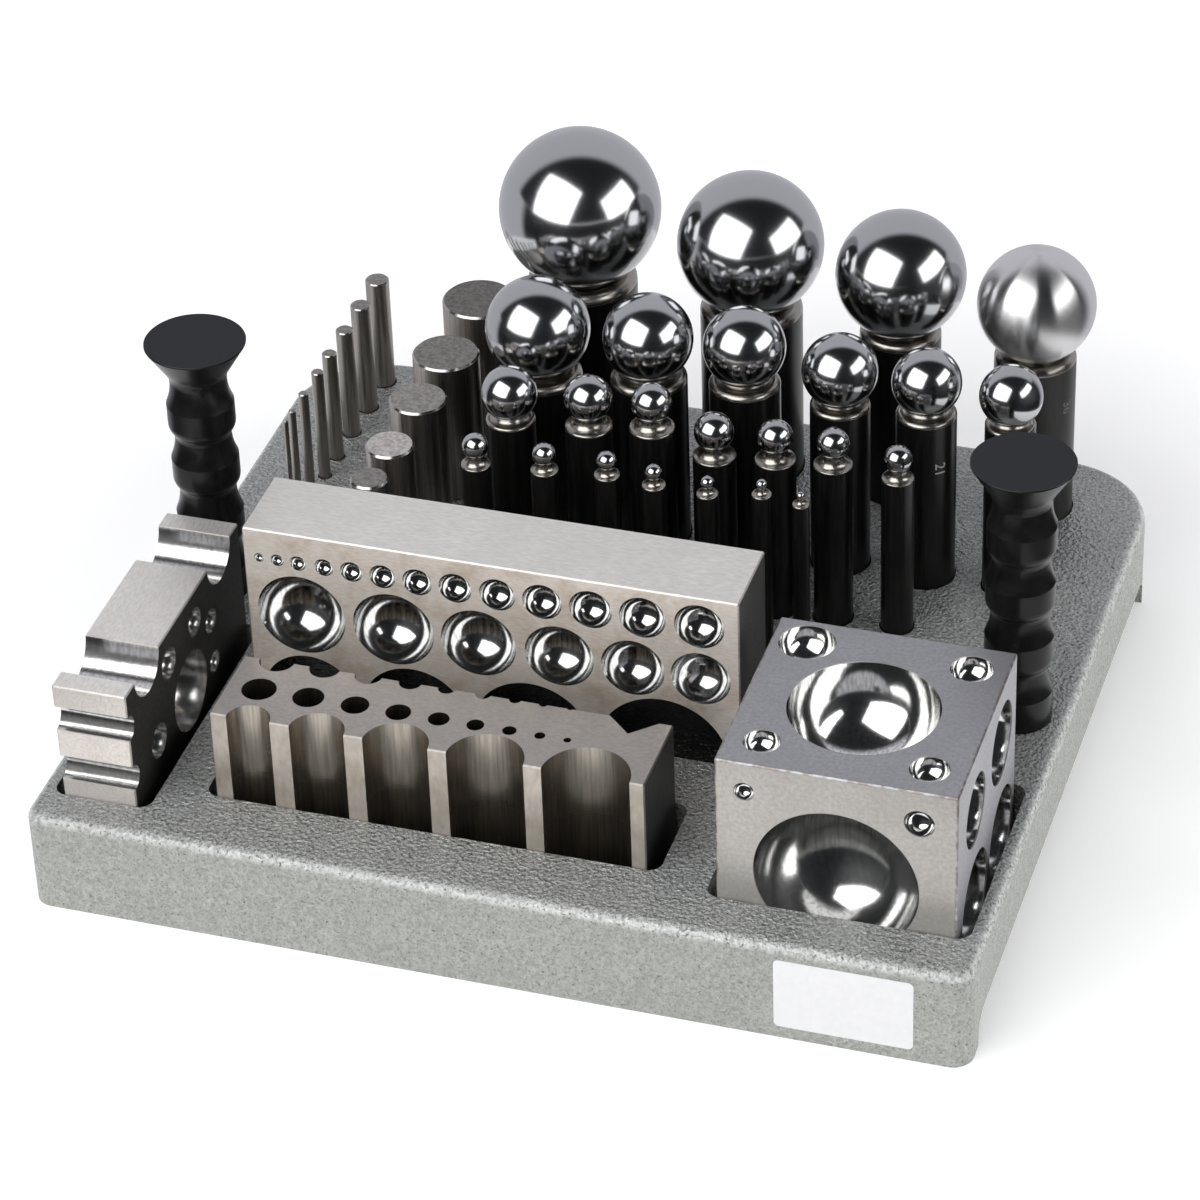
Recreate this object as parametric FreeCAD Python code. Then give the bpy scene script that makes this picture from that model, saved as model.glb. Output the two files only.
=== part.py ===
import FreeCAD, Part
import math
import os

# A jeweller's dapping set on its cast stand: four forming blocks, ball punches, rods,
# cylinders and two turned handles, each loose in its own pocket or hole.
# All sizes are in millimetres. The frame is the middle of the stand's underside, +X to the
# right along the front edge, +Y to the back, +Z up.

vec = FreeCAD.Vector

# Stand casting
stand_width = 279.0
stand_depth = 254.0
stand_height = 32.5
front_corner_radius = 6.0
back_corner_radius = 30.0
top_edge_radius = 3.5
under_gap = 10.0
front_foot = 11.0
back_foot = 26.0
foot_fillet = 6.0

# Fits between the stand and what stands in it
pocket_depth = 20.2
pocket_side_gap = 3.6
pocket_front_gap = 0.3
pocket_back_gap = 2.4
pocket_corner_radius = 4.0
bar_pocket_depth = 1.5
bar_pocket_gap = 0.5
hole_depth = 20.0
hole_clearance = 0.4
tail_chamfer = 0.6
block_chamfer = 0.4

# How far a cutting form runs on past the face it starts from, and how near counts as on it
spare = 1.0
near = 0.01

# The stand's edges. What stands in it is placed from its middle.
right_edge = stand_width / 2
left_edge = -right_edge
back_edge = stand_depth / 2
front_edge = -back_edge

# Dapping cube: for every face the bowls' places from its middle, along it and up or back
# on it, and their diameters
cube_side = 68.5
cube_x = 97.25
cube_front = -110.5
cube_top_bowls = [(-0.7, -1.2, 43.0), (-23.8, -23.1, 10.6), (23.5, -23.4, 11.5),
                  (-23.8, 24.2, 16.4), (23.8, 23.8, 12.4)]
cube_front_bowls = [(0.0, -1.7, 47.2), (-25.9, 24.6, 6.0), (23.4, 23.5, 8.8),
                    (-24.2, -24.6, 7.0), (24.2, -24.6, 8.0)]
cube_right_bowls = [(-13.7, 14.8, 22.0), (17.0, 15.4, 24.6), (-12.8, -17.0, 29.0),
                    (18.2, -17.0, 27.4)]
cube_left_bowls = [(-16.3, -16.3, 18.0), (16.3, -16.3, 17.0), (-16.3, 16.3, 16.0),
                   (16.3, 16.3, 15.0)]
cube_back_bowls = [14.0, 13.5, 13.0, 12.0, 11.0, 10.0, 9.0, 8.0, 7.0]
cube_back_pitch = 20.0

# Doming bar
bar_length = 149.4
bar_thickness = 27.2
bar_height = 59.0
bar_x = -21.15
bar_front = -52.1
bar_small_drop = 9.8
bar_small_bowls = [(-70.0, 3.0), (-64.4, 4.0), (-58.0, 5.0), (-50.0, 5.8), (-41.6, 6.8),
                   (-32.1, 8.0), (-21.5, 9.0), (-10.0, 10.0), (2.7, 10.8), (16.2, 11.8),
                   (30.7, 12.8), (46.1, 13.8), (62.9, 14.8)]
bar_large_drop = 28.1
bar_large_bowls = [(-58.1, 27.0), (-29.8, 24.8), (-3.8, 22.8), (20.7, 20.8), (42.8, 19.0),
                   (63.0, 17.8)]
bar_swages = [(-56.9, 29.2), (-24.6, 32.0), (11.5, 35.4), (51.4, 39.4)]

# Swage block
swage_length = 129.0
swage_thickness = 28.6
swage_height = 50.0
swage_x = -23.7
swage_front = -104.1
swage_hole_inset = 14.2
swage_holes = [(-54.6, 10.2), (-39.6, 9.2), (-25.5, 8.2), (-12.5, 7.4), (-0.4, 6.2),
               (10.5, 5.1), (20.6, 4.1), (29.6, 3.1), (37.7, 2.2)]
swage_front_grooves = [(-52.8, 13.1), (-32.2, 16.4), (-8.7, 19.4), (17.8, 22.7), (47.3, 25.8)]
swage_back_grooves = [(-54.3, 10.6), (-39.8, 9.2), (-26.4, 8.2), (-13.8, 6.8), (-2.8, 5.3),
                      (8.1, 4.6), (17.7, 3.7), (26.1, 2.7), (34.0, 1.8)]
swage_vee_x = 53.2
swage_vee_width = 15.4
swage_vee_depth = 7.2

# Design block
design_thickness = 22.5
design_length = 89.4
design_height = 59.0
design_x = -119.8
design_front = -114.8
design_top_groove = 18.4
design_top_land = 7.0
design_end_groove = 8.4
design_end_land = 7.2
design_end_pitch = 17.5
design_bowl = 25.0
design_small_bowls = [(-25.1, 0.0, 11.0), (-13.4, 19.2, 10.2), (7.2, 19.6, 9.2),
                      (18.6, 11.8, 8.0), (18.8, -2.8, 7.0), (13.6, -18.6, 6.0)]

# Ball punches, row by row from the back: the row's place, then for every punch its place
# along the row, ball diameter, shank diameter and height of the ball's middle over the stand
back_row_y = 99.5
back_row = [(-39.9, 50.0, 34.0, 85.0), (14.4, 45.0, 31.6, 80.2), (61.6, 39.8, 25.0, 76.6),
            (103.7, 36.0, 25.0, 72.7)]
third_row_y = 55.5
third_row = [(-40.0, 32.0, 26.0, 68.5), (-5.3, 27.5, 23.4, 70.4), (24.8, 25.0, 21.6, 72.1),
             (54.3, 23.0, 18.2, 68.4), (80.8, 21.0, 18.2, 68.7), (106.3, 19.0, 15.2, 68.1)]
second_row_y = 26.5
second_row = [(-39.8, 17.0, 15.0, 63.2), (-15.2, 14.6, 14.4, 65.5), (4.5, 12.4, 13.8, 67.1),
              (23.6, 12.0, 13.0, 60.2), (42.3, 10.8, 12.4, 61.4), (59.9, 9.8, 11.8, 62.1),
              (79.5, 8.6, 9.8, 60.0)]
front_row_y = 4.5
front_row = [(-43.5, 8.0, 9.0, 57.9), (-22.1, 7.2, 8.4, 58.6), (-2.8, 6.2, 7.8, 59.6),
             (11.5, 5.3, 7.2, 58.0), (27.8, 4.3, 6.6, 57.2), (44.3, 3.4, 6.0, 59.4),
             (56.1, 2.6, 5.2, 57.5)]
neck_share = 0.7
neck_shank_share = 0.85
cove_bow = 0.2
shoulder_share = 0.3
shoulder_core = 5.0
shoulder_least = 0.4
large_ball = 16.0
large_ball_drop = 0.5
middle_ball = 7.5
middle_ball_drop = 2.3
small_ball_drop = 1.7

# Slim rods, from the back: place, diameter
rod_x = -114.0
rod_rise = 38.9
rods = [(114.0, 7.6), (98.3, 6.6), (83.2, 5.6), (69.2, 4.7), (58.2, 3.8), (45.7, 3.1),
        (35.7, 2.3), (30.0, 1.5)]
rod_chamfer = 0.35

# Forming cylinders, from the back: place, diameter
cylinder_x = -73.8
cylinder_rise = 48.0
cylinders = [(97.5, 23.0), (65.3, 20.8), (39.0, 17.8), (13.0, 14.8), (-5.4, 11.6)]
cylinder_chamfer = 0.6

# Turned handles, fixed in the stand by a stud
handle_right_x = 124.2
handle_left_x = -125.3
handle_y = -6.7
handle_rise = 88.5
handle_head = 30.3
handle_rim = 0.5
handle_rim_chamfer = 0.2
handle_band = 20.3
handle_waist = 17.1
handle_band_tops = [10.2, 29.5, 48.5, 67.6]
handle_cove_rise = 7.6
handle_curve_rise = 2.4
handle_cone_foot = 19.4
handle_cone_rise = 4.0
handle_stud = 12.0
handle_stud_length = 16.0
stud_clearance = 0.1
stud_end_gap = 1.0


def rounded_face(x0, x1, y0, y1, front_radius, back_radius, z):
    """A flat rectangle with rounded corners at height z."""
    turn = math.sqrt(0.5)
    f = front_radius
    b = back_radius
    f_in = f * (1 - turn)
    b_in = b * (1 - turn)
    pts = [vec(x0 + f, y0, z), vec(x1 - f, y0, z), vec(x1, y0 + f, z), vec(x1, y1 - b, z),
           vec(x1 - b, y1, z), vec(x0 + b, y1, z), vec(x0, y1 - b, z), vec(x0, y0 + f, z)]
    edges = [Part.makeLine(pts[0], pts[1]),
             Part.Arc(pts[1], vec(x1 - f_in, y0 + f_in, z), pts[2]).toShape(),
             Part.makeLine(pts[2], pts[3]),
             Part.Arc(pts[3], vec(x1 - b_in, y1 - b_in, z), pts[4]).toShape(),
             Part.makeLine(pts[4], pts[5]),
             Part.Arc(pts[5], vec(x0 + b_in, y1 - b_in, z), pts[6]).toShape(),
             Part.makeLine(pts[6], pts[7]),
             Part.Arc(pts[7], vec(x0 + f_in, y0 + f_in, z), pts[0]).toShape()]
    return Part.Face(Part.Wire(edges))


def cut_all(body, tools):
    """Take all the tools out of the body in one go."""
    return body.cut(tools)


def turned(profile, x, y):
    """Turn a half profile of (radius, height) steps round the upright line at x, y.

    A step of three numbers pairs is an arc: (middle radius, middle height, radius, height).
    """
    edges = []
    here = vec(profile[0][0], 0, profile[0][1])
    first = here
    for step in profile[1:]:
        there = vec(step[-2], 0, step[-1])
        if len(step) == 4:
            edges.append(Part.Arc(here, vec(step[0], 0, step[1]), there).toShape())
        else:
            edges.append(Part.makeLine(here, there))
        here = there
    edges.append(Part.makeLine(here, first))
    body = Part.Face(Part.Wire(edges)).revolve(vec(0, 0, 0), vec(0, 0, 1), 360)
    body.translate(vec(x, y, 0))
    return body


def block(length, thickness, height, x, front, base):
    """A ground steel block with its edges just broken."""
    body = Part.makeBox(length, thickness, height, vec(x - length / 2, front, base))
    return body.makeChamfer(block_chamfer, body.Edges)


def pocket(length, thickness, x, front):
    """The pocket that a block stands in."""
    x0 = x - length / 2 - pocket_side_gap
    x1 = x + length / 2 + pocket_side_gap
    y0 = front - pocket_front_gap
    y1 = front + thickness + pocket_back_gap
    r = pocket_corner_radius
    floor = stand_height - pocket_depth
    return rounded_face(x0, x1, y0, y1, r, r, floor).extrude(vec(0, 0, pocket_depth + spare))


def round_hole(x, y, diameter, depth):
    """A round hole down into the stand."""
    return Part.makeCylinder(diameter / 2, depth + spare, vec(x, y, stand_height - depth))


def bowl(diameter, x, y, z):
    return Part.makeSphere(diameter / 2, vec(x, y, z))


def make_stand(shanks):
    """The cast stand, with a pocket or hole for every loose piece."""
    plan = rounded_face(left_edge, right_edge, front_edge, back_edge, front_corner_radius,
                        back_corner_radius, 0)
    body = plan.extrude(vec(0, 0, stand_height))
    rim = [e for e in body.Edges if e.BoundBox.ZMin > stand_height - near]
    body = body.makeFillet(top_edge_radius, rim)
    y0 = front_edge + front_foot
    y1 = back_edge - back_foot
    gap = Part.makeBox(stand_width + 2 * spare, y1 - y0, under_gap + spare,
                       vec(left_edge - spare, y0, -spare))
    corners = [e for e in gap.Edges if e.BoundBox.ZMin > under_gap - near
               and e.BoundBox.XLength > stand_width]
    tools = [gap.makeFillet(foot_fillet, corners)]
    tools.append(pocket(cube_side, cube_side, cube_x, cube_front))
    tools.append(pocket(swage_length, swage_thickness, swage_x, swage_front))
    tools.append(pocket(design_thickness, design_length, design_x, design_front))
    g = bar_pocket_gap
    tools.append(Part.makeBox(bar_length + 2 * g, bar_thickness + 2 * g, bar_pocket_depth + spare,
                              vec(bar_x - bar_length / 2 - g, bar_front - g,
                                  stand_height - bar_pocket_depth)))
    for x, y, diameter in shanks:
        tools.append(round_hole(x, y, diameter + 2 * hole_clearance, hole_depth))
    for x in (handle_left_x, handle_right_x):
        tools.append(round_hole(x, handle_y, handle_stud + 2 * stud_clearance,
                                handle_stud_length + stud_end_gap))
    return cut_all(body, tools)


def make_cube():
    """The dapping cube: one large bowl on two faces, groups of small ones on the others."""
    base = stand_height - pocket_depth
    half = cube_side / 2
    body = block(cube_side, cube_side, cube_side, cube_x, cube_front, base)
    middle = vec(cube_x, cube_front + half, base + half)
    tools = []
    for along, back, d in cube_top_bowls:
        tools.append(bowl(d, middle.x + along, middle.y + back, middle.z + half))
    for along, up, d in cube_front_bowls:
        tools.append(bowl(d, middle.x + along, middle.y - half, middle.z + up))
    for along, up, d in cube_right_bowls:
        tools.append(bowl(d, middle.x + half, middle.y + along, middle.z + up))
    for along, up, d in cube_left_bowls:
        tools.append(bowl(d, middle.x - half, middle.y + along, middle.z + up))
    for i, d in enumerate(cube_back_bowls):
        column = i % 3 - 1
        line = i // 3 - 1
        tools.append(bowl(d, middle.x + column * cube_back_pitch, middle.y + half,
                          middle.z + line * cube_back_pitch))
    return cut_all(body, tools)


def make_bar():
    """The doming bar: two rows of bowls in front, half-round swages through its foot."""
    base = stand_height - bar_pocket_depth
    body = block(bar_length, bar_thickness, bar_height, bar_x, bar_front, base)
    top = base + bar_height
    tools = []
    for x, d in bar_small_bowls:
        tools.append(bowl(d, bar_x + x, bar_front, top - bar_small_drop))
    for x, d in bar_large_bowls:
        tools.append(bowl(d, bar_x + x, bar_front, top - bar_large_drop))
    through = bar_thickness + 2 * spare
    for x, d in bar_swages:
        at = vec(bar_x + x, bar_front - spare, base + bar_pocket_depth)
        tools.append(Part.makeCylinder(d / 2, through, at, vec(0, 1, 0)))
        tools.append(Part.makeBox(d, through, bar_pocket_depth + spare,
                                  vec(at.x - d / 2, at.y, base - spare)))
    return cut_all(body, tools)


def make_swage():
    """The swage block: half-round grooves on both long faces, a vee and a row of holes."""
    base = stand_height - pocket_depth
    body = block(swage_length, swage_thickness, swage_height, swage_x, swage_front, base)
    back = swage_front + swage_thickness
    low = base - spare
    tall = swage_height + 2 * spare
    tools = []
    for x, d in swage_holes:
        tools.append(Part.makeCylinder(d / 2, tall, vec(swage_x + x,
                                                        swage_front + swage_hole_inset, low)))
    for x, d in swage_front_grooves:
        tools.append(Part.makeCylinder(d / 2, tall, vec(swage_x + x, swage_front, low)))
    for x, d in swage_back_grooves:
        tools.append(Part.makeCylinder(d / 2, tall, vec(swage_x + x, back, low)))
    x = swage_x + swage_vee_x
    slope = swage_vee_width / 2 / swage_vee_depth
    open_y = back + spare
    wide = slope * (swage_vee_depth + spare)
    vee = Part.makePolygon([vec(x - wide, open_y, low), vec(x + wide, open_y, low),
                            vec(x, back - swage_vee_depth, low), vec(x - wide, open_y, low)])
    tools.append(Part.Face(vee).extrude(vec(0, 0, tall)))
    return cut_all(body, tools)


def make_design_block():
    """The design block: half-round grooves over its top and front, bowls in its right face."""
    base = stand_height - pocket_depth
    body = block(design_thickness, design_length, design_height, design_x, design_front, base)
    top = base + design_height
    mid_y = design_front + design_length / 2
    mid_z = base + design_height / 2
    right = design_x + design_thickness / 2
    start = design_x - design_thickness / 2 - spare
    through = design_thickness + 2 * spare
    tools = [bowl(design_bowl, right, mid_y, mid_z)]
    for y, z, d in design_small_bowls:
        tools.append(bowl(d, right, mid_y + y, mid_z + z))
    reach = design_length / 2 - design_top_land - design_top_groove / 2
    for side in (-1, 1):
        tools.append(Part.makeCylinder(design_top_groove / 2, through,
                                       vec(start, mid_y + side * reach, top), vec(1, 0, 0)))
    for step in range(3):
        z = top - design_end_land - design_end_groove / 2 - step * design_end_pitch
        tools.append(Part.makeCylinder(design_end_groove / 2, through,
                                       vec(start, design_front, z), vec(1, 0, 0)))
    return cut_all(body, tools)


def neck_drop(ball):
    """How far the shank's full width begins below the ball."""
    if ball >= large_ball:
        return large_ball_drop
    return middle_ball_drop if ball >= middle_ball else small_ball_drop


def make_ball_punch(x, y, ball, shank, height):
    """A ball on a waisted neck over the shank's rounded shoulder, turned in one piece."""
    r = ball / 2
    s = shank / 2
    centre = stand_height + height
    foot = stand_height - hole_depth
    edge_z = centre - r - neck_drop(ball)
    shoulder = max(shoulder_least, shoulder_share * (s - shoulder_core))
    turn = shoulder * math.sqrt(0.5)
    neck = neck_share * min(r, neck_shank_share * s)
    neck_z = centre - math.sqrt(r * r - neck * neck)
    rim = s - shoulder
    rim_z = edge_z + shoulder
    cove = ((rim + neck) / 2 - cove_bow * (neck_z - rim_z),
            (rim_z + neck_z) / 2 - cove_bow * (rim - neck))
    profile = [(0, foot), (s - tail_chamfer, foot), (s, foot + tail_chamfer), (s, edge_z),
               (rim + turn, edge_z + turn, rim, rim_z), (cove[0], cove[1], neck, neck_z),
               (r, centre, 0, centre + r)]
    return turned(profile, x, y)


def make_pin(x, y, diameter, rise, chamfer):
    """A plain ground rod or cylinder with its top rim broken."""
    r = diameter / 2
    foot = stand_height - hole_depth
    top = stand_height + rise
    return turned([(0, foot), (r - chamfer, foot), (r, foot + chamfer), (r, top - chamfer),
                   (r - chamfer, top), (0, top)], x, y)


def upright_arc(r0, z0, r1, z1):
    """The middle of the arc that stands upright at (r0, z0) and ends at (r1, z1)."""
    lean = math.atan2(abs(r1 - r0), abs(z1 - z0))
    radius = ((r1 - r0) ** 2 + (z1 - z0) ** 2) / (2 * (r1 - r0))
    return (r0 + radius * (1 - math.cos(lean)), z0 + (z1 - z0) / (2 * math.cos(lean)))


def make_handle(x, y):
    """A turned handle: sharp-edged bands and coves under a flared head, on a stud."""
    band = handle_band / 2
    waist = handle_waist / 2
    head = handle_head / 2
    stud = handle_stud / 2
    foot = stand_height - handle_stud_length
    top = stand_height + handle_rise
    profile = [(0, foot), (stud - tail_chamfer, foot), (stud, foot + tail_chamfer),
               (stud, stand_height), (band, stand_height)]
    half = (band + waist) / 2
    for band_top in handle_band_tops:
        edge_z = stand_height + band_top
        waist_z = edge_z + handle_cove_rise
        half_z = waist_z + handle_curve_rise
        full_z = half_z + handle_curve_rise
        profile.append((band, edge_z))
        profile.append((*upright_arc(waist, waist_z, band, edge_z), waist, waist_z))
        if band_top != handle_band_tops[-1]:
            profile.append((*upright_arc(waist, waist_z, half, half_z), half, half_z))
            profile.append((*upright_arc(band, full_z, half, half_z), band, full_z))
    cone = handle_cone_foot / 2
    cone_z = waist_z + handle_cone_rise
    profile.append((*upright_arc(waist, waist_z, cone, cone_z), cone, cone_z))
    profile.append((head, top - handle_rim))
    profile.append((head, top - handle_rim_chamfer))
    profile.append((head - handle_rim_chamfer, top))
    profile.append((0, top))
    return turned(profile, x, y)


pieces = {"dapping_cube": make_cube(), "doming_bar": make_bar(), "swage_block": make_swage(),
          "design_block": make_design_block(),
          "handle_left": make_handle(handle_left_x, handle_y),
          "handle_right": make_handle(handle_right_x, handle_y)}
shanks = []
count = 0
rows = [(back_row_y, back_row), (third_row_y, third_row), (second_row_y, second_row),
        (front_row_y, front_row)]
for y, row in rows:
    for x, ball, shank, height in row:
        count += 1
        pieces["ball_punch_%02d" % count] = make_ball_punch(x, y, ball, shank, height)
        shanks.append((x, y, shank))
for i, (y, diameter) in enumerate(rods):
    pieces["rod_%02d" % (i + 1)] = make_pin(rod_x, y, diameter, rod_rise, rod_chamfer)
    shanks.append((rod_x, y, diameter))
for i, (y, diameter) in enumerate(cylinders):
    pieces["cylinder_%02d" % (i + 1)] = make_pin(cylinder_x, y, diameter, cylinder_rise,
                                                 cylinder_chamfer)
    shanks.append((cylinder_x, y, diameter))
pieces["stand"] = make_stand(shanks)

os.makedirs("parts", exist_ok=True)
for name, shape in pieces.items():
    solid = shape.Solids[0] if len(shape.Solids) == 1 else shape
    solid.exportStep("parts/%s.step" % name)
    print(name, "valid", solid.isValid(), "solids", len(shape.Solids),
          "volume", round(solid.Volume, 1))
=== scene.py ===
import math

import bpy
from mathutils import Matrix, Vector


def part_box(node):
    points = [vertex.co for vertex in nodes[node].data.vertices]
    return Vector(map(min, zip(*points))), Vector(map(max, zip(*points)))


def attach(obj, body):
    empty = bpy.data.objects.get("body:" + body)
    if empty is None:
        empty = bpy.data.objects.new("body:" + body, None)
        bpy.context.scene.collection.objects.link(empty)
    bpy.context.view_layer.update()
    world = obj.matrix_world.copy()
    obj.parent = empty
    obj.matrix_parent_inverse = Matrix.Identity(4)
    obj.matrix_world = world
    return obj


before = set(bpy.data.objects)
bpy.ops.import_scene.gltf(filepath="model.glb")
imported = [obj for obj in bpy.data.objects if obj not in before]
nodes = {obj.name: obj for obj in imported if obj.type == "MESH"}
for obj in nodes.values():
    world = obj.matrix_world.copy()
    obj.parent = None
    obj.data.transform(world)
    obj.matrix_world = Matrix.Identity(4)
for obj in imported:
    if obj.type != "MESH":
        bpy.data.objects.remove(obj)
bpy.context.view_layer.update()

print("frame loaded with", len(nodes), "nodes")


# small helpers for the finishes

def newFinish(name):
    finish = bpy.data.materials.new(name)
    finish.use_nodes = True
    return finish, finish.node_tree.nodes["Principled BSDF"]


def addNode(tree, kind, settings=None, **sockets):
    node = tree.nodes.new(kind)
    for key, value in (settings or {}).items():
        setattr(node, key, value)
    for key, value in sockets.items():
        plug(tree, node.inputs[key.replace("_", " ")], value)
    return node


def plug(tree, socket, value):
    if isinstance(value, bpy.types.NodeSocket):
        tree.links.new(value, socket)
    else:
        socket.default_value = value


def objectPlace(tree, centre=(0, 0, 0), stretch=(1, 1, 1)):
    # where a point lies on the object, seen from a centre and stretched per axis
    coordinate = addNode(tree, "ShaderNodeTexCoord")
    mapping = addNode(tree, "ShaderNodeMapping", Vector=coordinate.outputs["Object"])
    mapping.inputs["Location"].default_value = [-c * s for c, s in zip(centre, stretch)]
    mapping.inputs["Scale"].default_value = stretch
    return mapping.outputs["Vector"]


def noise(tree, place, scale, detail=2.0, roughness=0.5):
    node = addNode(tree, "ShaderNodeTexNoise", Vector=place, Scale=scale, Detail=detail)
    node.inputs["Roughness"].default_value = roughness
    return node.outputs["Fac"]


def remap(tree, value, low, high, toLow=0.0, toHigh=1.0):
    node = addNode(tree, "ShaderNodeMapRange", {"clamp": True}, Value=value)
    node.inputs["From Min"].default_value = low
    node.inputs["From Max"].default_value = high
    node.inputs["To Min"].default_value = toLow
    node.inputs["To Max"].default_value = toHigh
    return node.outputs["Result"]


def maths(tree, operation, first, second=0.0):
    node = addNode(tree, "ShaderNodeMath", {"operation": operation})
    plug(tree, node.inputs[0], first)
    plug(tree, node.inputs[1], second)
    return node.outputs["Value"]


def blendColors(tree, amount, first, second):
    node = addNode(tree, "ShaderNodeMix", {"data_type": "RGBA"})
    plug(tree, node.inputs["Factor"], amount)
    for socket, color in ((node.inputs[6], first), (node.inputs[7], second)):
        plug(tree, socket, color if isinstance(color, bpy.types.NodeSocket) else (*color, 1))
    return node.outputs[2]


def blendTint(tree, color, tint):
    settings = {"data_type": "RGBA", "blend_type": "MULTIPLY"}
    node = addNode(tree, "ShaderNodeMix", settings, Factor=1.0)
    plug(tree, node.inputs[6], color)
    plug(tree, node.inputs[7], (*tint, 1))
    return node.outputs[2]


def raiseSurface(tree, shader, height, distance):
    bump = addNode(tree, "ShaderNodeBump", Height=height, Distance=distance, Strength=1.0)
    tree.links.new(bump.outputs["Normal"], shader.inputs["Normal"])


def boxDepths(tree, low, high, axes=(0, 1, 2)):
    # how deep a point lies inside a box, along each of the axes
    place = addNode(tree, "ShaderNodeTexCoord").outputs["Object"]
    split = addNode(tree, "ShaderNodeSeparateXYZ", Vector=place)
    depths = []
    for axis in axes:
        middle, half = (low[axis] + high[axis]) / 2, (high[axis] - low[axis]) / 2
        offset = maths(tree, "SUBTRACT", split.outputs[axis], middle)
        depths.append(maths(tree, "SUBTRACT", half, maths(tree, "ABSOLUTE", offset)))
    return depths


def insideMask(tree, low, high, skin, axes=(0, 1, 2)):
    # one inside a box by more than the skin, nought on its faces
    inside, *others = boxDepths(tree, low, high, axes)
    for depth in others:
        inside = maths(tree, "MINIMUM", inside, depth)
    return remap(tree, inside, skin * 0.7, skin)


def edgeMask(tree, low, high, width):
    # one along a box's own edges, nought past the width: the middle one of its three depths
    first, second, third = boxDepths(tree, low, high)
    least = maths(tree, "MINIMUM", first, second)
    most = maths(tree, "MAXIMUM", first, second)
    between = maths(tree, "MAXIMUM", least, maths(tree, "MINIMUM", most, third))
    return remap(tree, between, width * 0.5, width, 1.0, 0.0)


def faceNormal(tree):
    normal = addNode(tree, "ShaderNodeNewGeometry").outputs["True Normal"]
    return addNode(tree, "ShaderNodeSeparateXYZ", Vector=normal).outputs


def dress(name, finish):
    node = nodes[name]
    node.data.materials.clear()
    node.data.materials.append(finish)


# the stand: grey hammered paint on a casting
standPaint = {
    # top and side tones of the one grey paint: painted light and shade by face direction
    "topLight": (0.51, 0.52, 0.505),
    "topDark": (0.34, 0.35, 0.345),
    "sideLight": (0.435, 0.445, 0.42),
    "sideDark": (0.325, 0.335, 0.31),
    # painted highlight along the rounded upper edge
    "edge": (0.84, 0.85, 0.83),
    "speck": (0.075, 0.078, 0.074),
    "sideFlakes": (0.28, 0.42),
    "flakes": (0.3, 0.65),
    "edgeMetal": 0.45,
    "highlightRise": (0.06, 0.60, 0.70, 0.95),  # where it starts, is full, ends being full and is gone
    "highlightBreak": (0.35, 0.6, 0.3, 1.0),
    "topTilt": (0.55, 0.95),
    "roughness": 0.27,
    "specular": 0.6,
    "dimpleScale": 800.0,
    "dimpleTone": (0.35, 0.65),
    "cloudScale": 60.0,
    "cloudTone": (0.3, 0.7, 0.8, 1.0),
    "topDepth": 0.0014,
    "sideDepth": 0.0013,
    "speckScale": 1000.0,
    "speckShare": 0.645,
    "speckFade": 0.06,
    "speckFull": 0.7,
    "sparkleScale": 1400.0,
    "sparkleTone": (0.45, 0.62),
    "pocketShade": (0.012, 0.012, 0.011),
    "pocketStep": 0.0008,
    "edgeBand": 0.006,
}


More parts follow.
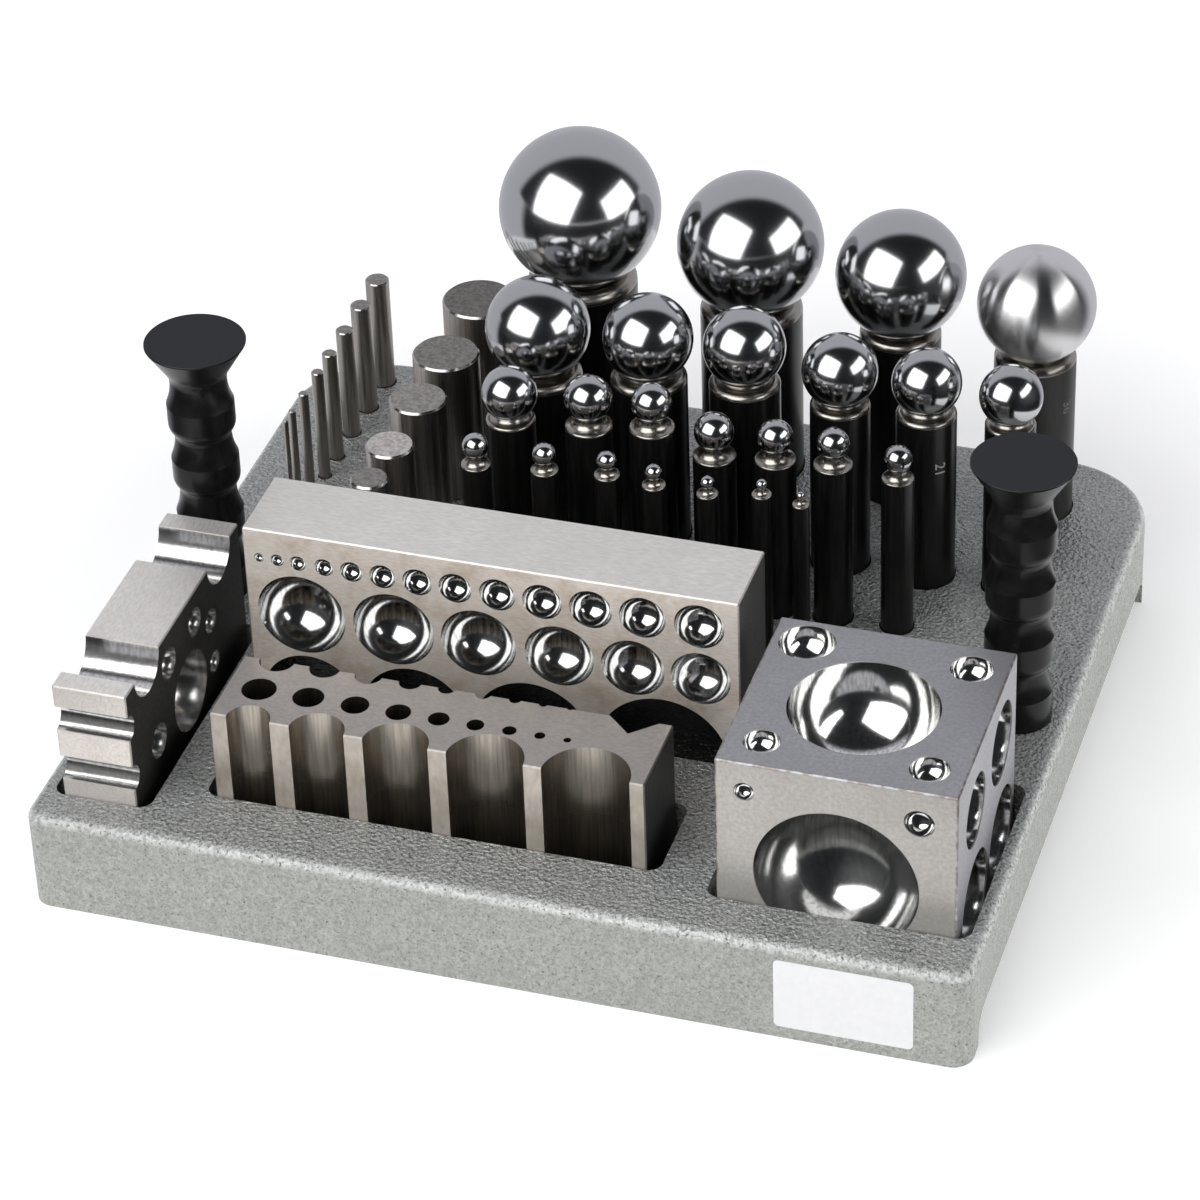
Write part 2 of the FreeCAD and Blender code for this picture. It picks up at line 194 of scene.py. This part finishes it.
def paintStand():
    finish, shader = newFinish("hammeredPaint")
    tree = finish.node_tree
    place = objectPlace(tree)
    dimples = noise(tree, place, standPaint["dimpleScale"])
    clouds = noise(tree, place, standPaint["cloudScale"], detail=3.0)
    tone = remap(tree, dimples, *standPaint["dimpleTone"])
    tone = maths(tree, "MULTIPLY", tone, remap(tree, clouds, *standPaint["cloudTone"]))
    rise = faceNormal(tree)["Z"]
    upward = remap(tree, rise, *standPaint["topTilt"])
    # painted light and shade: the top and the sides take their own tones of the one paint
    top = blendColors(tree, tone, standPaint["topDark"], standPaint["topLight"])
    side = blendColors(tree, tone, standPaint["sideDark"], standPaint["sideLight"])
    color = blendColors(tree, upward, side, top)
    # a painted highlight: a pale band along the rounded upper edge, broken up by the dimples
    starts, full, stillFull, gone = standPaint["highlightRise"]
    edge = maths(tree, "MULTIPLY", remap(tree, rise, starts, full),
                 remap(tree, rise, stillFull, gone, 1.0, 0.0))
    edge = maths(tree, "MULTIPLY", edge, remap(tree, dimples, *standPaint["highlightBreak"]))
    color = blendColors(tree, edge, color, standPaint["edge"])
    specks = noise(tree, place, standPaint["speckScale"], detail=1.0)
    share = standPaint["speckShare"]
    speckMask = remap(tree, specks, share, share + standPaint["speckFade"], 0.0,
                      standPaint["speckFull"])
    color = blendColors(tree, speckMask, color, standPaint["speck"])
    # painted shade: the sunk floors of the pockets, away from the stand's outer sides, are
    # coloured near black
    low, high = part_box("stand")
    step = standPaint["pocketStep"]
    sunk = remap(tree, addNode(tree, "ShaderNodeSeparateXYZ", Vector=place).outputs["Z"],
                 high.z - step, high.z - step * 0.8, 1.0, 0.0)
    inner = insideMask(tree, low, high, standPaint["edgeBand"], axes=(0, 1))
    floor = maths(tree, "MULTIPLY", maths(tree, "MULTIPLY", sunk, upward), inner)
    color = blendColors(tree, floor, color, standPaint["pocketShade"])
    plug(tree, shader.inputs["Base Color"], color)
    sparkle = noise(tree, place, standPaint["sparkleScale"])
    sideFlakes = remap(tree, sparkle, *standPaint["sparkleTone"], *standPaint["sideFlakes"])
    flakes = remap(tree, sparkle, *standPaint["sparkleTone"], *standPaint["flakes"])
    gap = maths(tree, "SUBTRACT", flakes, sideFlakes)
    flakes = maths(tree, "ADD", sideFlakes, maths(tree, "MULTIPLY", gap, upward))
    gap = maths(tree, "SUBTRACT", standPaint["edgeMetal"], flakes)
    plug(tree, shader.inputs["Metallic"],
         maths(tree, "ADD", flakes, maths(tree, "MULTIPLY", gap, edge)))
    shader.inputs["Roughness"].default_value = standPaint["roughness"]
    shader.inputs["Specular IOR Level"].default_value = standPaint["specular"]
    depth = remap(tree, upward, 0.0, 1.0, standPaint["sideDepth"], standPaint["topDepth"])
    raiseSurface(tree, shader, dimples, depth)
    dress("stand", finish)


paintStand()
print("stand painted")


# the four blocks: fine ground faces, toned by direction with painted light and shade, polished
# where a bowl or groove goes in
groundSteel = {
    "skin": 0.0005,  # a bowl or groove counts as polished from this depth on
    "faceTilt": (0.6, 0.8),
    "grainTone": (0.3, 0.7),
    "grainRoughness": (0.06, -0.04),
    "cloudScale": 55.0,
    "cloudTone": (0.3, 0.7, 0.5, 1.0),
    "streakShare": 0.78,
    "faceMetal": 0.6,
    "grooveTilt": (0.3, 0.5),
    "drawn": (1100, 1100, 60),
    "drawnTone": (0.35, 0.6),
    "worked": 0.72,
    "duller": 0.02,
    "dullShares": (0.4, 0.85),  # of the block's height, between which a bowl gets brighter
    "rust": (0.13, 0.085, 0.055),
    "rustWidth": 0.0008,
    "rustScale": 420.0,
    "rustTone": (0.42, 0.56),
    "stain": (0.62, 0.52, 0.40),
    "stainScale": 75.0,
    "stainTone": (0.46, 0.68),
}
# the top, front and side colours are lit and shaded copies of one steel: painted light, shade and
# reflection by face direction
blockFaces = {
    "dapping_cube": {
        "top": (0.375, 0.375, 0.40), "front": (0.52, 0.50, 0.47), "side": (0.42, 0.42, 0.45),
        "grain": (900, 900, 900), "roughness": 0.36, "stained": 0.15, "rust": 0.6,
        "pocket": 0.11, "pocketColor": (0.80, 0.80, 0.79)},
    "doming_bar": {
        "top": (0.86, 0.835, 0.80), "front": (0.98, 0.90, 0.82), "side": (0.10, 0.10, 0.098),
        "grain": (400, 1400, 1400), "roughness": 0.42, "stained": 0.6, "run": 1,
        "pocket": 0.1, "pocketColor": (0.66, 0.66, 0.655)},
    "swage_block": {
        "top": (0.42, 0.395, 0.375), "front": (0.56, 0.51, 0.455), "side": (0.05, 0.05, 0.05),
        "grain": (700, 1200, 250), "roughness": 0.36, "stained": 0.55, "run": 2,
        "pocket": 0.26, "pocketColor": (0.50, 0.45, 0.39)},
    "design_block": {
        "top": (0.88, 0.845, 0.81), "front": (0.84, 0.785, 0.74), "side": (0.05, 0.048, 0.046),
        "grain": (1400, 500, 1400), "roughness": 0.36, "stained": 0.12, "run": 0,
        "pocket": 0.2, "pocketColor": (0.78, 0.77, 0.76)},
}


def grindBlock(name, look):
    finish, shader = newFinish(name + "Steel")
    tree = finish.node_tree
    low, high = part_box(name)
    middle = (low + high) / 2
    grain = noise(tree, objectPlace(tree, middle, look["grain"]), 1.0, detail=3.0)
    clouds = noise(tree, objectPlace(tree, middle), groundSteel["cloudScale"])
    normal = faceNormal(tree)
    upward = remap(tree, normal["Z"], *groundSteel["faceTilt"])
    forward = remap(tree, maths(tree, "ABSOLUTE", normal["Y"]), *groundSteel["faceTilt"])
    # painted light and shade: each face direction takes its own colour
    face = blendColors(tree, forward, look["side"], look["front"])
    face = blendColors(tree, upward, face, look["top"])
    shade = maths(tree, "MULTIPLY", remap(tree, grain, *groundSteel["grainTone"]),
                  remap(tree, clouds, *groundSteel["cloudTone"]))
    streak = blendColors(tree, groundSteel["streakShare"], (0, 0, 0), face)
    face = blendColors(tree, shade, streak, face)
    spread = noise(tree, objectPlace(tree, middle), groundSteel["stainScale"], detail=5.0,
                   roughness=0.65)
    stained = remap(tree, spread, *groundSteel["stainTone"], 0.0, look["stained"])
    stained = maths(tree, "MULTIPLY", stained, maths(tree, "SUBTRACT", 1.0, upward))
    face = blendColors(tree, stained, face, blendTint(tree, face, groundSteel["stain"]))
    if "rust" in look:
        spots = noise(tree, objectPlace(tree, middle), groundSteel["rustScale"], detail=3.0)
        patches = remap(tree, spots, *groundSteel["rustTone"], 0.0, look["rust"])
        nearEdge = edgeMask(tree, low, high, groundSteel["rustWidth"])
        rusty = maths(tree, "MULTIPLY", nearEdge, patches)
        face = blendColors(tree, rusty, face, groundSteel["rust"])
    pocket = insideMask(tree, low, high, groundSteel["skin"])
    if "run" in look:
        # a groove is polished out to the two faces that it opens on
        across = [axis for axis in range(3) if axis != look["run"]]
        groove = insideMask(tree, low, high, groundSteel["skin"], across)
        level = remap(tree, maths(tree, "ABSOLUTE", normal[look["run"]]),
                      *groundSteel["grooveTilt"], 1.0, 0.0)
        pocket = maths(tree, "MAXIMUM", pocket, maths(tree, "MULTIPLY", groove, level))
    drawn = noise(tree, objectPlace(tree, middle, groundSteel["drawn"]), 1.0)
    worked = tuple(c * groundSteel["worked"] for c in look["pocketColor"])
    pocketColor = blendColors(tree, remap(tree, drawn, *groundSteel["drawnTone"]), worked,
                              look["pocketColor"])
    plug(tree, shader.inputs["Base Color"], blendColors(tree, pocket, face, pocketColor))
    plug(tree, shader.inputs["Metallic"],
         remap(tree, pocket, 0.0, 1.0, groundSteel["faceMetal"], 1.0))
    rougher, smoother = (look["roughness"] + step for step in groundSteel["grainRoughness"])
    faceRoughness = remap(tree, grain, *groundSteel["grainTone"], rougher, smoother)
    rise = addNode(tree, "ShaderNodeSeparateXYZ", Vector=objectPlace(tree)).outputs["Z"]
    dullTop, brightFoot = (low.z + (high.z - low.z) * s for s in groundSteel["dullShares"])
    pocketRoughness = remap(tree, rise, dullTop, brightFoot,
                            look["pocket"] + groundSteel["duller"], look["pocket"])
    difference = maths(tree, "SUBTRACT", pocketRoughness, faceRoughness)
    drop = maths(tree, "MULTIPLY", pocket, difference)
    plug(tree, shader.inputs["Roughness"], maths(tree, "ADD", faceRoughness, drop))
    dress(name, finish)


for blockName, look in blockFaces.items():
    grindBlock(blockName, look)
print("blocks ground")


# the ball punches: a mirror ball, a satin neck and shoulder, and a blackened shank
ballPunch = {
    "sizes": (50, 45, 39.8, 36, 32, 27.5, 25, 23, 21, 19, 17, 14.6, 12.4, 12, 10.8, 9.8, 8.6,
              8, 7.2, 6.2, 5.3, 4.3, 3.4, 2.6),  # ball diameters in millimetres
    "drops": ((16, 0.5), (7.5, 2.3), (0, 1.7)),  # from this ball size on, bare steel below it
    "ball": (0.50, 0.503, 0.515),
    "neck": (0.36, 0.34, 0.31),
    "ballRoughness": 0.145,
    "satinBallColor": (0.72, 0.715, 0.72),
    "satinRoughness": 0.26,
    "satinStretch": 0.9,
    "satinTurn": 0.25,
    "neckRoughness": 0.26,
    "shank": (0.0026, 0.0025, 0.0026),
    "wornShank": (0.010, 0.0095, 0.009),
    "paleShank": (0.017, 0.0165, 0.0155),
    "shankRoughness": 0.3,
    "shankSpecular": 0.32,
    "satinBall": "ball_punch_04",
    "neckShare": 0.78,
    "streaks": (1800, 1800, 90),
    "streakTone": (0.45, 0.75),
    "bareFade": 0.00008,
    "ballFade": 0.0001,
}
punchNames = sorted(n for n in nodes if n.startswith("ball_punch"))


def blackenPunch(name, size):
    finish, shader = newFinish(name + "Steel")
    tree = finish.node_tree
    low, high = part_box(name)
    drop = next(d for least, d in ballPunch["drops"] if size >= least)
    edge = high.z - (size + drop) / 1000
    ballFoot = high.z - size / 2000 * (1 + ballPunch["neckShare"])
    split = addNode(tree, "ShaderNodeSeparateXYZ", Vector=objectPlace(tree))
    bareFade, ballFade = ballPunch["bareFade"], ballPunch["ballFade"]
    bare = remap(tree, split.outputs["Z"], edge - bareFade, edge + bareFade)
    onBall = remap(tree, split.outputs["Z"], ballFoot - ballFade, ballFoot + ballFade)
    streaks = noise(tree, objectPlace(tree, (low + high) / 2, ballPunch["streaks"]), 1.0)
    pale = name == ballPunch["satinBall"]
    shank = blendColors(tree, remap(tree, streaks, *ballPunch["streakTone"]),
                        ballPunch["paleShank" if pale else "shank"], ballPunch["wornShank"])
    metal = blendColors(tree, onBall, ballPunch["neck"],
                        ballPunch["satinBallColor" if pale else "ball"])
    plug(tree, shader.inputs["Base Color"], blendColors(tree, bare, shank, metal))
    plug(tree, shader.inputs["Metallic"], bare)
    shader.inputs["Specular IOR Level"].default_value = ballPunch["shankSpecular"]
    ballRoughness = ballPunch["satinRoughness" if pale else "ballRoughness"]
    metalRoughness = remap(tree, onBall, 0.0, 1.0, ballPunch["neckRoughness"], ballRoughness)
    gap = maths(tree, "MULTIPLY", maths(tree, "SUBTRACT", metalRoughness,
                                        ballPunch["shankRoughness"]), bare)
    plug(tree, shader.inputs["Roughness"], maths(tree, "ADD", gap, ballPunch["shankRoughness"]))
    if pale:
        # fine turning marks round the ball draw its highlights out up and down
        shader.inputs["Anisotropic"].default_value = ballPunch["satinStretch"]
        shader.inputs["Anisotropic Rotation"].default_value = ballPunch["satinTurn"]
        settings = {"direction_type": "RADIAL", "axis": "Z"}
        aroundBall = addNode(tree, "ShaderNodeTangent", settings)
        tree.links.new(aroundBall.outputs["Tangent"], shader.inputs["Tangent"])
    dress(name, finish)


for punchName, size in zip(punchNames, ballPunch["sizes"]):
    blackenPunch(punchName, size)
print("punches finished:", len(punchNames))


# the rods and cylinders: drawn steel sides and turned ends
rodSteel = {
    "side": (0.50, 0.47, 0.435),
    "sideStreak": (0.33, 0.305, 0.28),
    "slimTone": 0.7,
    "streaks": (1900, 1900, 40),
    "streakTone": (0.35, 0.65),
    "turning": (900, 900, 900),
    "end": (0.40, 0.375, 0.35),
    "endShade": 0.62,
    "endTone": {"cylinder_01": 0.62, "cylinder_02": 0.85, "cylinder_03": 1.15,
                "cylinder_04": 1.95, "cylinder_05": 0.95},
    "rim": (0.45, 0.44, 0.43),
    "sideRoughness": 0.32,
    "endRoughness": 0.4,
    "rimRoughness": 0.2,
    "rodChamfer": 0.00035,
    "cylinderChamfer": 0.0006,
    "rimFade": 0.00004,
    "endFade": (0.00005, 0.00001),
}


def drawRod(name, chamfer):
    finish, shader = newFinish(name + "Steel")
    tree = finish.node_tree
    low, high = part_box(name)
    split = addNode(tree, "ShaderNodeSeparateXYZ", Vector=objectPlace(tree))
    rimFoot, rimFade = high.z - chamfer, rodSteel["rimFade"]
    rim = remap(tree, split.outputs["Z"], rimFoot - rimFade, rimFoot + rimFade)
    end = remap(tree, split.outputs["Z"], *(high.z - fade for fade in rodSteel["endFade"]))
    streaks = noise(tree, objectPlace(tree, (low + high) / 2, rodSteel["streaks"]), 1.0)
    turning = noise(tree, objectPlace(tree, (low + high) / 2, rodSteel["turning"]), 1.0)
    darker = 1.0 if name in rodSteel["endTone"] else rodSteel["slimTone"]
    streak, plain = (tuple(c * darker for c in rodSteel[part]) for part in ("sideStreak", "side"))
    side = blendColors(tree, remap(tree, streaks, *rodSteel["streakTone"]), streak, plain)
    tone = rodSteel["endTone"].get(name, 1.0)
    flat = tuple(min(1.0, c * tone) for c in rodSteel["end"])
    darkFlat = tuple(c * rodSteel["endShade"] for c in flat)
    endColor = blendColors(tree, remap(tree, turning, *rodSteel["streakTone"]), darkFlat, flat)
    color = blendColors(tree, rim, side, rodSteel["rim"])
    plug(tree, shader.inputs["Base Color"], blendColors(tree, end, color, endColor))
    shader.inputs["Metallic"].default_value = 1.0
    roughness = remap(tree, rim, 0.0, 1.0, rodSteel["sideRoughness"], rodSteel["rimRoughness"])
    gap = maths(tree, "SUBTRACT", rodSteel["endRoughness"], roughness)
    plug(tree, shader.inputs["Roughness"],
         maths(tree, "ADD", roughness, maths(tree, "MULTIPLY", gap, end)))
    dress(name, finish)


for rodName in sorted(n for n in nodes if n.startswith("rod_")):
    drawRod(rodName, rodSteel["rodChamfer"])
for cylinderName in sorted(n for n in nodes if n.startswith("cylinder_")):
    drawRod(cylinderName, rodSteel["cylinderChamfer"])
print("rods and cylinders finished")


# the carrying handles: black satin with a duller top
handleBlack = {
    "body": (0.0035, 0.0034, 0.0036),
    "worn": (0.008, 0.0078, 0.0082),
    "top": (0.012, 0.0128, 0.0165),
    "bodyRoughness": 0.25,
    "topRoughness": 0.55,
    "specular": 0.27,
    "cloudScale": 300.0,
    "cloudTone": (0.3, 0.7),
    "topFade": (0.0001, 0.00002),
}


def blackenHandle(name):
    finish, shader = newFinish(name + "Black")
    tree = finish.node_tree
    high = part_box(name)[1]
    split = addNode(tree, "ShaderNodeSeparateXYZ", Vector=objectPlace(tree))
    top = remap(tree, split.outputs["Z"], *(high.z - fade for fade in handleBlack["topFade"]))
    cloud = noise(tree, objectPlace(tree), handleBlack["cloudScale"])
    body = blendColors(tree, remap(tree, cloud, *handleBlack["cloudTone"]), handleBlack["body"],
                       handleBlack["worn"])
    plug(tree, shader.inputs["Base Color"], blendColors(tree, top, body, handleBlack["top"]))
    shader.inputs["Specular IOR Level"].default_value = handleBlack["specular"]
    plug(tree, shader.inputs["Roughness"],
         remap(tree, top, 0.0, 1.0, handleBlack["bodyRoughness"], handleBlack["topRoughness"]))
    dress(name, finish)


blackenHandle("handle_left")
blackenHandle("handle_right")
print("handles finished")


# the plain sticker on the stand's front
sticker = {
    "left": 0.0838,
    "right": 0.1236,
    "low": 0.004,
    "high": 0.0277,
    "proud": 0.00008,
    "corner": 0.0016,
    "cornerSteps": 6,
    "paper": (0.74, 0.74, 0.75),
    "fibreScale": 500.0,
    "fibreTone": (0.3, 0.7),
    "fibreShade": 0.95,
    "roughness": 0.3,
}


def makeSticker():
    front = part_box("stand")[0].y
    left, right, low, high = (sticker[key] for key in ("left", "right", "low", "high"))
    bpy.ops.object.select_all(action="DESELECT")
    bpy.ops.mesh.primitive_cube_add(
        size=1, location=((left + right) / 2, front, (low + high) / 2),
        scale=(right - left, sticker["proud"] * 2, high - low))
    piece = bpy.context.object
    piece.name = "front_sticker"
    bpy.ops.object.transform_apply(location=True, rotation=True, scale=True)
    bpy.ops.object.mode_set(mode="EDIT")
    bpy.ops.mesh.select_mode(type="EDGE")
    bpy.ops.mesh.select_all(action="DESELECT")
    bpy.ops.object.mode_set(mode="OBJECT")
    for edge in piece.data.edges:
        first, second = (piece.data.vertices[v].co for v in edge.vertices)
        # the four corner edges run straight into the paper
        edge.select = abs(first.x - second.x) < 1e-6 and abs(first.z - second.z) < 1e-6
    bpy.ops.object.mode_set(mode="EDIT")
    bpy.ops.mesh.bevel(offset=sticker["corner"], offset_type="OFFSET",
                       segments=sticker["cornerSteps"], affect="EDGES")
    bpy.ops.object.mode_set(mode="OBJECT")
    finish, shader = newFinish("stickerPaper")
    tree = finish.node_tree
    fibres = noise(tree, objectPlace(tree), sticker["fibreScale"], detail=3.0)
    shaded = tuple(c * sticker["fibreShade"] for c in sticker["paper"])
    plug(tree, shader.inputs["Base Color"],
         blendColors(tree, remap(tree, fibres, *sticker["fibreTone"]), shaded, sticker["paper"]))
    shader.inputs["Roughness"].default_value = sticker["roughness"]
    piece.data.materials.append(finish)
    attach(piece, "stand_body")


makeSticker()
print("sticker placed")


# the ball's size in millimetres, struck into two of the shanks
sizeMark = {
    "marks": {  # the words, their height, their turn round the shank, its radius, their brightness
        "ball_punch_09": ("21", 0.0755, 0.71, 0.0091, 1.0),
        "ball_punch_04": ("36", 0.0735, 1.12, 0.0125, 0.3)},
    "letterHeight": 0.0047,
    "curveSteps": 4,
    "proud": 0.00004,
    "sunk": 0.0004,
    "cuts": 5,
    # the digits' colour is raised to make up for the shade of the neighbouring punches: painted
    # light
    "metal": (0.42, 0.41, 0.40),
    "wearScale": 2500.0,
    "wearTone": (0.35, 0.6),
    "wearShade": 0.5,
    "roughness": 0.6,
}


def strikeSize(name, words, height, turn, radius, tone):
    low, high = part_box(name)
    bpy.ops.object.select_all(action="DESELECT")
    bpy.ops.object.text_add(location=(0, 0, 0))
    mark = bpy.context.object
    mark.name = name + "_size"
    mark.data.body = words
    mark.data.size = sizeMark["letterHeight"]
    mark.data.align_x = "CENTER"
    mark.data.align_y = "CENTER"
    mark.data.resolution_u = sizeMark["curveSteps"]
    mark.data.extrude = (sizeMark["proud"] + sizeMark["sunk"]) / 2
    bpy.ops.object.convert(target="MESH")
    bpy.ops.object.mode_set(mode="EDIT")
    cuts = sizeMark["cuts"]
    for cut in range(-cuts, cuts + 1):  # level cuts, so that the flat digits can follow the shank
        bpy.ops.mesh.select_all(action="SELECT")
        bpy.ops.mesh.bisect(plane_co=(0, cut * sizeMark["letterHeight"] / 2 / cuts, 0),
                            plane_no=(0, 1, 0))
    bpy.ops.object.mode_set(mode="OBJECT")
    centre = ((low.x + high.x) / 2, (low.y + high.y) / 2)
    for vertex in mark.data.vertices:
        along, across, out = vertex.co
        # the digits read downwards, so a digit's height runs round the shank
        angle = turn + across / radius
        reach = radius + out + (sizeMark["proud"] - sizeMark["sunk"]) / 2
        vertex.co = (centre[0] + reach * math.sin(angle), centre[1] - reach * math.cos(angle),
                     height - along)
    finish, shader = newFinish(name + "Stamp")
    tree = finish.node_tree
    wear = noise(tree, objectPlace(tree), sizeMark["wearScale"])
    bright = tuple(c * tone for c in sizeMark["metal"])
    dull = tuple(c * sizeMark["wearShade"] for c in bright)
    plug(tree, shader.inputs["Base Color"],
         blendColors(tree, remap(tree, wear, *sizeMark["wearTone"]), dull, bright))
    shader.inputs["Roughness"].default_value = sizeMark["roughness"]
    mark.data.materials.append(finish)
    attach(mark, name + "_body")


for name, mark in sizeMark["marks"].items():
    strikeSize(name, *mark)
print("sizes struck")


# the studio: pale floor, pale wall behind, two softboxes, dark room, white at the horizon
studio = {
    "floorSize": 12.0,
    "floorColor": (0.82, 0.82, 0.82),
    "floorRoughness": 0.9,
    "liftNear": 0.3,
    "liftFar": 0.9,
    "liftReach": (0.2, 0.6),
    "screenReach": 0.25,
    "screenHigh": 0.16,
    "screenSides": 96,
    "horizon": (0.10, 0.17),
    "wall": (0.62, 0.62, 0.665),
    "wallDirection": (-0.317, 0.948, 0.0),
    "wallEdge": (0.22, 0.36),
    "room": (0.02, 0.021, 0.023),
    "aim": (0.0, 0.0, 0.06),
}
softboxes = [
    {"name": "softboxLeft", "toward": (-0.374, -0.711, 0.594), "far": 1.3, "side": 1.5,
     "level": 3.2},
    {"name": "softboxRight", "toward": (0.963, -0.07, 0.259), "far": 1.3, "side": 1.25,
     "level": 3.2},
]


def layFloor():
    bpy.ops.object.select_all(action="DESELECT")
    bpy.ops.mesh.primitive_plane_add(size=studio["floorSize"], location=(0, 0, 0))
    floor = bpy.context.object
    floor.name = "floor"
    finish, shader = newFinish("paleFloor")
    tree = finish.node_tree
    shader.inputs["Base Color"].default_value = (*studio["floorColor"], 1)
    shader.inputs["Roughness"].default_value = studio["floorRoughness"]
    shader.inputs["Emission Color"].default_value = (1, 1, 1, 1)
    ray = addNode(tree, "ShaderNodeLightPath")
    seen = maths(tree, "MAXIMUM", ray.outputs["Is Camera Ray"], ray.outputs["Is Glossy Ray"])
    seen = maths(tree, "MAXIMUM", seen, ray.outputs["Is Transmission Ray"])
    # white further out, while the shadow stays near the stand
    away = addNode(tree, "ShaderNodeVectorMath", {"operation": "LENGTH"}, Vector=objectPlace(tree))
    lift = remap(tree, away.outputs["Value"], *studio["liftReach"], studio["liftNear"],
                 studio["liftFar"])
    plug(tree, shader.inputs["Emission Strength"], maths(tree, "MULTIPLY", seen, lift))
    floor.data.materials.append(finish)


def wallShare(tree, direction):
    # how far a level direction is turned to the pale wall behind the table
    toWall = addNode(tree, "ShaderNodeVectorMath", {"operation": "DOT_PRODUCT"})
    plug(tree, toWall.inputs[0], direction)
    plug(tree, toWall.inputs[1], studio["wallDirection"])
    return remap(tree, toWall.outputs["Value"], *studio["wallEdge"])


def standScreen():
    # a low screen round the table: the steel mirrors it, the camera and the lamps pass it
    bpy.ops.object.select_all(action="DESELECT")
    high = studio["screenHigh"]
    bpy.ops.mesh.primitive_cylinder_add(
        vertices=studio["screenSides"], radius=studio["screenReach"], depth=high,
        end_fill_type="NOTHING", location=(0, 0, high / 2))
    screen = bpy.context.object
    screen.name = "lowScreen"
    bpy.ops.object.transform_apply(location=True, rotation=True, scale=True)
    finish, shader = newFinish("screenCloth")
    tree = finish.node_tree
    direction = addNode(tree, "ShaderNodeVectorMath", {"operation": "NORMALIZE"},
                        Vector=objectPlace(tree))
    wall = wallShare(tree, direction.outputs["Vector"])
    plug(tree, shader.inputs["Emission Color"],
         blendColors(tree, wall, studio["room"], studio["wall"]))
    shader.inputs["Emission Strength"].default_value = 1.0
    shader.inputs["Base Color"].default_value = (0, 0, 0, 1)
    shader.inputs["Roughness"].default_value = 1.0
    shader.inputs["Specular IOR Level"].default_value = 0.0
    screen.data.materials.append(finish)
    for sort in ("camera", "diffuse", "shadow", "volume_scatter"):
        setattr(screen, "visible_" + sort, False)


def paintRoom():
    world = bpy.data.worlds.new("studioRoom")
    bpy.context.scene.world = world
    world.use_nodes = True
    tree = world.node_tree
    direction = addNode(tree, "ShaderNodeTexCoord").outputs["Generated"]
    color = blendColors(tree, wallShare(tree, direction), studio["room"], studio["wall"])
    split = addNode(tree, "ShaderNodeSeparateXYZ", Vector=direction)
    above = remap(tree, split.outputs["Z"], *studio["horizon"])
    color = blendColors(tree, above, (1.0, 1.0, 1.0), color)
    plug(tree, tree.nodes["Background"].inputs["Color"], color)


def hangSoftbox(box):
    lamp = bpy.data.lights.new(box["name"], "AREA")
    lamp.shape = "SQUARE"
    lamp.size = box["side"]
    lamp.energy = box["level"] * math.pi * box["side"] ** 2
    holder = bpy.data.objects.new(box["name"], lamp)
    bpy.context.scene.collection.objects.link(holder)
    toward = Vector(box["toward"]).normalized()
    holder.location = Vector(studio["aim"]) + toward * box["far"]
    holder.rotation_mode = "QUATERNION"
    holder.rotation_quaternion = toward.to_track_quat("Z", "Y")
    holder.visible_camera = False


layFloor()
standScreen()
paintRoom()
for box in softboxes:
    hangSoftbox(box)
print("studio lit")


# the camera, at the photograph's place and lens
photoCamera = {
    "place": (0.3618, -1.09556, 0.87391),
    "turn": (54.3126, 1.7266, 17.2661),
    "lens": 143.2,
    "sensor": 36,
    "near": 0.05,
    "far": 50,
}


def setCamera():
    view = bpy.data.cameras.new("photoCamera")
    view.lens = photoCamera["lens"]
    view.sensor_width = photoCamera["sensor"]
    view.clip_start = photoCamera["near"]
    view.clip_end = photoCamera["far"]
    holder = bpy.data.objects.new("photoCamera", view)
    bpy.context.scene.collection.objects.link(holder)
    holder.location = photoCamera["place"]
    holder.rotation_euler = [math.radians(a) for a in photoCamera["turn"]]
    bpy.context.scene.camera = holder


setCamera()
bpy.context.scene.view_settings.view_transform = "Standard"
print("camera set")
